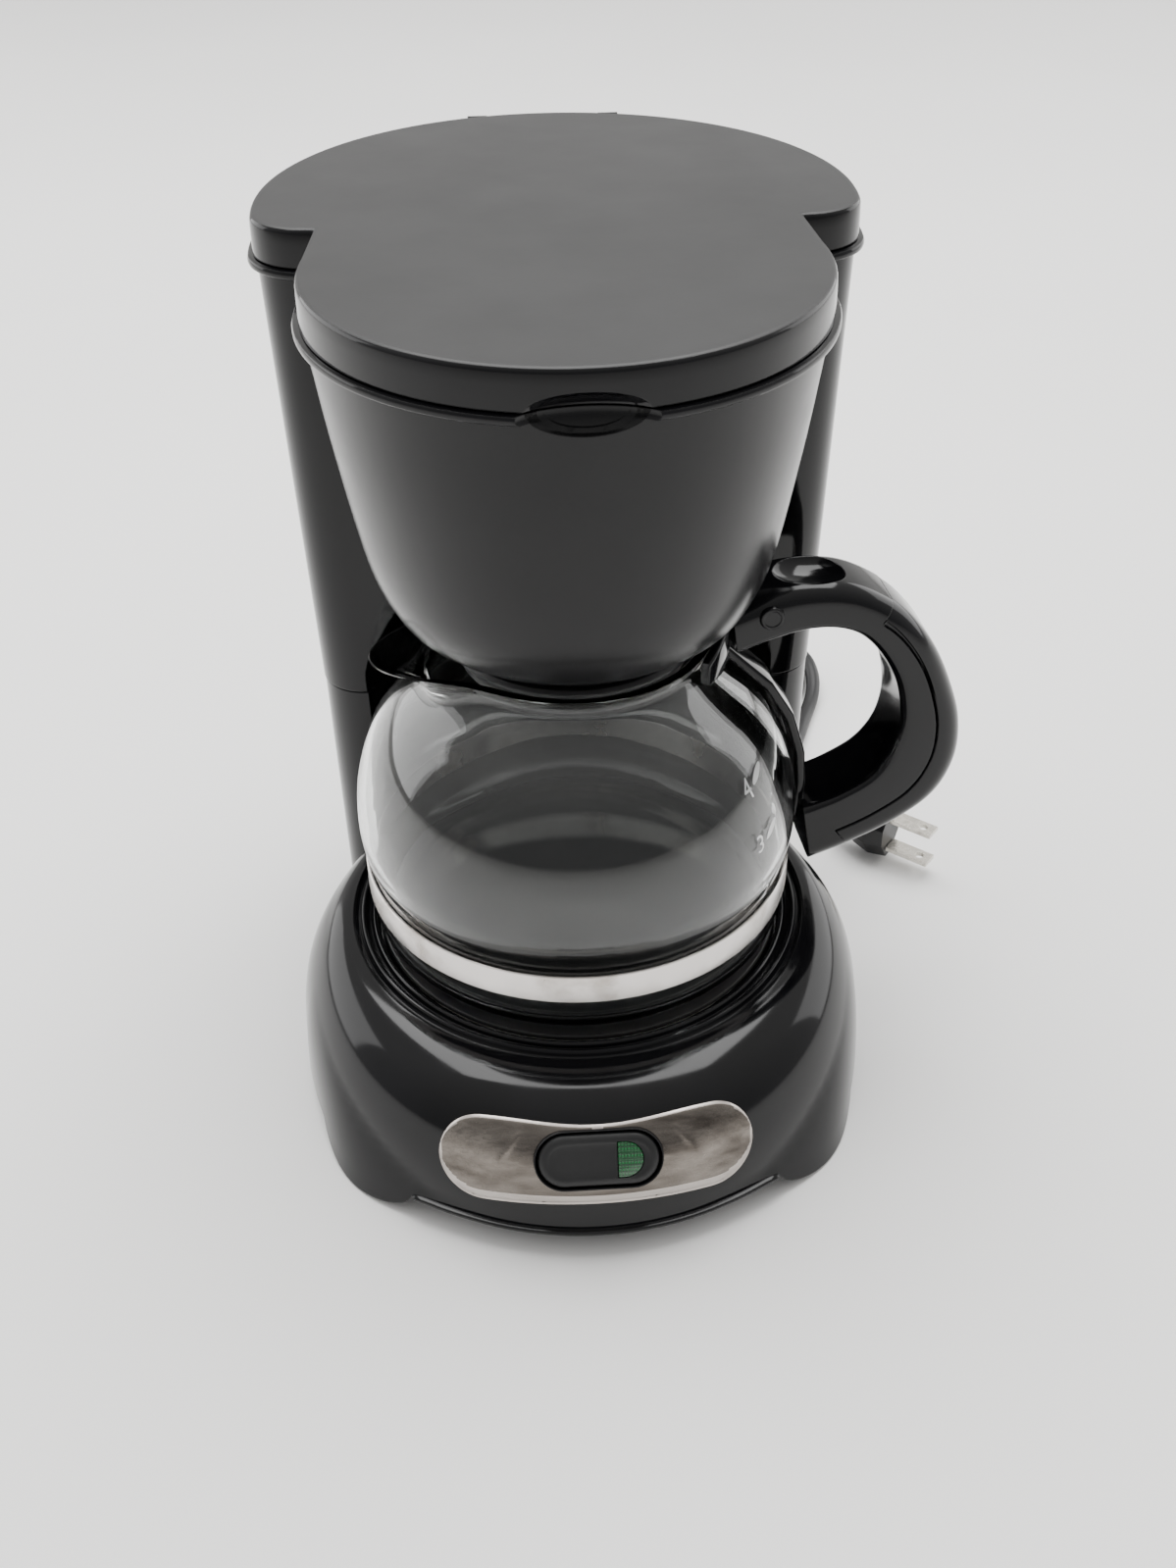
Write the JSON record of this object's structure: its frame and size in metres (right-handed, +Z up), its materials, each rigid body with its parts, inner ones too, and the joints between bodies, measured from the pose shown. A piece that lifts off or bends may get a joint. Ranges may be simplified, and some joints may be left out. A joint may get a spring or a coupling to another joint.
{
  "type": "drip_coffee_maker",
  "caption": "Small drip coffee maker: rear water tower, tapered brew head under a flat hinged lid, warming-plate base, glass carafe and lead.",
  "frame": {"origin": "middle of the outside box at the resting plane, cord left out", "axes": "+Z up, -Y out of the front toward the user, +X to the user's right"},
  "size_m": [0.216, 0.3249, 0.2465],
  "materials": {
    "gloss_black": "gloss moulded",
    "satin_black": "satin moulded",
    "matte_charcoal": "fine matte moulded",
    "grey_plastic": "natural moulded",
    "clear_glass": "clear blown glass",
    "polished_steel": "polished",
    "brushed_steel": "fine brushed",
    "dark_coating": "baked non-stick coating",
    "aluminium": "as drawn",
    "rubber": "moulded rubber",
    "silicone": "silicone",
    "green_lens": "translucent green",
    "brass": "stamped",
    "nickel": "nickel plated"
  },
  "bodies": {
    "machine": {"upper_housing": "gloss_black", "lid_hinge_pin_left": "nickel", "lid_hinge_pin_right": "nickel", "water_reservoir": "grey_plastic", "base_housing": "gloss_black", "control_plate": "brushed_steel", "switch_body": "satin_black", "signal_lamp": "clear_glass", "switch_terminal_left": "brass", "switch_terminal_middle": "brass", "switch_terminal_right": "brass", "warming_plate": "dark_coating", "plate_gasket": "silicone", "heater_tube": "aluminium", "thermostat": "aluminium", "thermal_fuse": "nickel", "inlet_hose": "silicone", "outlet_hose": "silicone", "riser_tube": "grey_plastic", "bottom_cover": "satin_black", "strain_relief": "rubber", "cord_tube_machine_end": "satin_black", "cord_coil": "satin_black", "cord_tube_plug_end": "satin_black", "plug_body": "satin_black", "plug_blade_lower": "nickel", "plug_blade_upper": "nickel", "rubber_foot_front_left": "rubber", "cover_screw_front_left": "polished_steel", "rubber_foot_front_right": "rubber", "cover_screw_front_right": "polished_steel", "rubber_foot_rear_left": "rubber", "cover_screw_rear_left": "polished_steel", "rubber_foot_rear_right": "rubber", "cover_screw_rear_right": "polished_steel"},
    "lid": {"top_lid": "matte_charcoal", "shower_plate": "grey_plastic"},
    "basket": {"brew_basket": "satin_black", "valve_seal": "silicone", "valve_spring": "polished_steel"},
    "valve": {"drip_valve": "grey_plastic"},
    "rocker": {"rocker_switch": "matte_charcoal", "lamp_lens": "green_lens"},
    "carafe": {"carafe_glass": "clear_glass", "carafe_band": "polished_steel", "handle_frame": "gloss_black", "handle_cover": "gloss_black", "handle_screw": "polished_steel", "carafe_lid_pin": "nickel"},
    "carafe_cap": {"carafe_lid": "satin_black"}
  },
  "joints": [
    {"name": "lid_hinge", "type": "hinge", "parent": "machine", "child": "lid", "pos_m": [-0.0143, 0.1166, 0.241], "axis": [-1, 0, 0], "range_deg": [0, 95]},
    {"name": "basket_lift", "type": "slide", "parent": "machine", "child": "basket", "axis": [0, 0, 1], "range_m": [0, 0.062]},
    {"name": "carafe_slide", "type": "slide", "parent": "machine", "child": "carafe", "axis": [0, -1, 0], "range_m": [0, 0.3]},
    {"name": "carafe_lid_hinge", "type": "hinge", "parent": "carafe", "child": "carafe_cap", "pos_m": [0.03551, -0.01854, 0.1495], "axis": [-0.0872, 0.9962, 0], "range_deg": [0, 18.2]},
    {"name": "valve_drop", "type": "slide", "parent": "basket", "child": "valve", "axis": [0, 0, -1], "range_m": [0, 0.0026]},
    {"name": "rocker_hinge", "type": "hinge", "parent": "machine", "child": "rocker", "pos_m": [-0.0143, -0.10879, 0.02977], "axis": [0, 0.4848, 0.8746], "range_deg": [-6, 6]}
  ],
  "couplings": [
    {"joint": "basket_lift", "follows": "lid_hinge", "m_per_rad": 0.037},
    {"joint": "carafe_lid_hinge", "follows": "carafe_slide", "rad_per_m": 1.047},
    {"joint": "valve_drop", "follows": "carafe_slide", "ratio": 0.0083}
  ]
}
